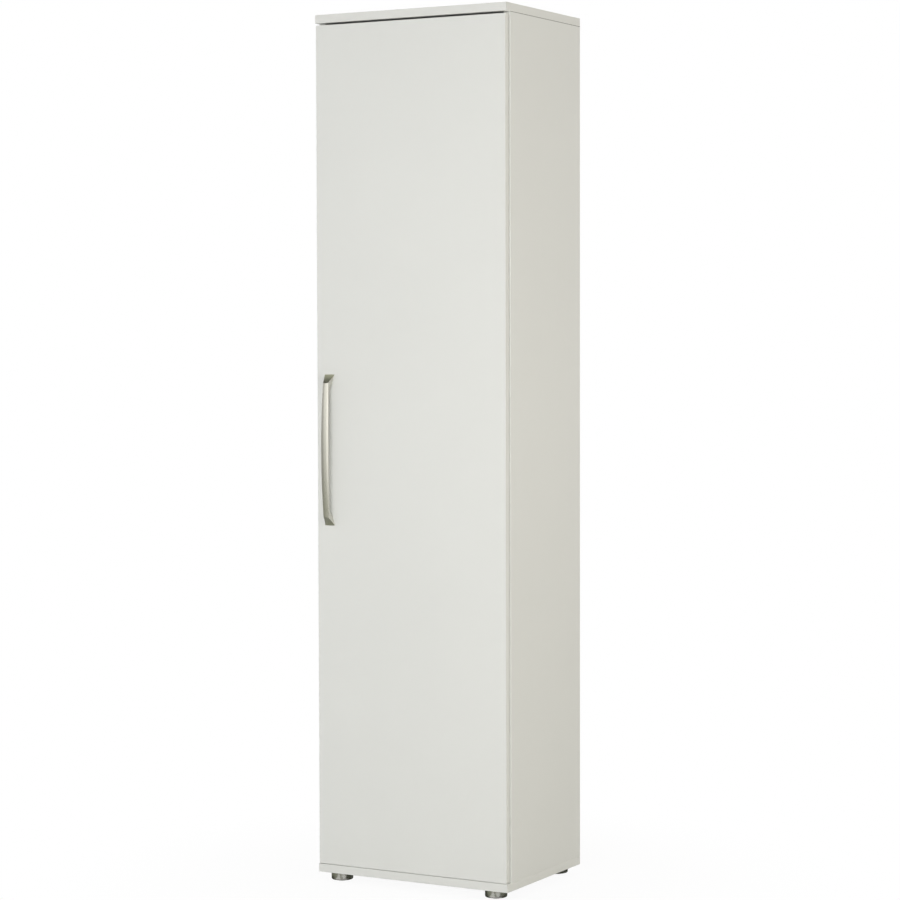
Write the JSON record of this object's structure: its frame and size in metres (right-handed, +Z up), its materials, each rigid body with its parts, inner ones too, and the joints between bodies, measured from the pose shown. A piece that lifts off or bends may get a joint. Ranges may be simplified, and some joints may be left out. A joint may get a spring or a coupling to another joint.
{
  "type": "hall wardrobe",
  "caption": "Tall narrow hall wardrobe with one hinged door, a bow handle, concealed cup hinges, a hat shelf, a pull-out garment rail and round levelling feet.",
  "frame": {"origin": "middle of the bounding box's base, on the floor", "axes": "+Z up, the door looks towards -Y, +X to the right as seen from the front"},
  "size_m": [0.493, 0.388, 1.985],
  "materials": {
    "board": "off-white coated board",
    "back": "white faced hardboard",
    "door": "off-white coated board",
    "steel": "nickel-plated",
    "rail_chrome": "bright",
    "handle_nickel": "satin nickel",
    "beech": "plain beech",
    "pad": "clear",
    "knob": "grey",
    "foot_metal": "brushed",
    "glide": "grey"
  },
  "bodies": {
    "carcass": {"top_board": "board", "bottom_board": "board", "left_side": "board", "right_side": "board", "back_panel": "back", "hat_shelf": "board", "shoe_shelf": "board", "shelf_pins": "steel", "cams": "steel", "cam_bolts": "steel", "dowels": "beech", "foot_nuts": "steel", "hinge_plates": "steel", "plate_screws": "steel", "hinge_arms": "steel", "arm_screws": "steel", "arm_pivots": "steel", "rail_channel": "rail_chrome", "rail_screws": "steel", "wall_bracket": "steel", "bracket_screws": "steel"},
    "outer_link": {"outer_links": "steel"},
    "inner_link": {"inner_links": "steel"},
    "door": {"door_panel": "door", "hinge_cups": "steel", "cup_pivots": "steel", "cup_screws": "steel", "handle": "handle_nickel", "handle_screws": "steel", "door_bumpers": "pad"},
    "rail": {"rail_slider": "rail_chrome", "hanger_bar": "rail_chrome", "rail_knob": "knob"},
    "foot_front_left": {"foot_front_left": "foot_metal", "glide_front_left": "glide"},
    "foot_front_right": {"foot_front_right": "foot_metal", "glide_front_right": "glide"},
    "foot_back_left": {"foot_back_left": "foot_metal", "glide_back_left": "glide"},
    "foot_back_right": {"foot_back_right": "foot_metal", "glide_back_right": "glide"}
  },
  "joints": [
    {"name": "outer_link_swing", "type": "hinge", "parent": "carcass", "child": "outer_link", "pos_m": [0.2071, -0.1451, 1], "axis": [0, 0, 1], "range_deg": [-29.6, 0]},
    {"name": "door_swing", "type": "hinge", "parent": "outer_link", "child": "door", "pos_m": [0.2327, -0.154, 1], "axis": [0, 0, 1], "range_deg": [0, 124.5]},
    {"name": "inner_link_swing", "type": "hinge", "parent": "carcass", "child": "inner_link", "pos_m": [0.2139, -0.159, 1], "axis": [0, 0, 1], "range_deg": [-21.2, 0]},
    {"name": "rail_slide", "type": "slide", "parent": "carcass", "child": "rail", "axis": [0, -1, 0], "range_m": [0, 0.23]},
    {"name": "foot_front_left_screw", "type": "slide", "parent": "carcass", "child": "foot_front_left", "axis": [0, 0, -1], "range_m": [0, 0.01]},
    {"name": "foot_front_right_screw", "type": "slide", "parent": "carcass", "child": "foot_front_right", "axis": [0, 0, -1], "range_m": [0, 0.01]},
    {"name": "foot_back_left_screw", "type": "slide", "parent": "carcass", "child": "foot_back_left", "axis": [0, 0, -1], "range_m": [0, 0.01]},
    {"name": "foot_back_right_screw", "type": "slide", "parent": "carcass", "child": "foot_back_right", "axis": [0, 0, -1], "range_m": [0, 0.01]}
  ],
  "couplings": [
    {"joint": "outer_link_swing", "follows": "door_swing", "ratio": -0.23722},
    {"joint": "inner_link_swing", "follows": "door_swing", "ratio": -0.16934},
    {"joint": "rail_slide", "follows": "door_swing", "m_per_rad": 0.1058}
  ]
}
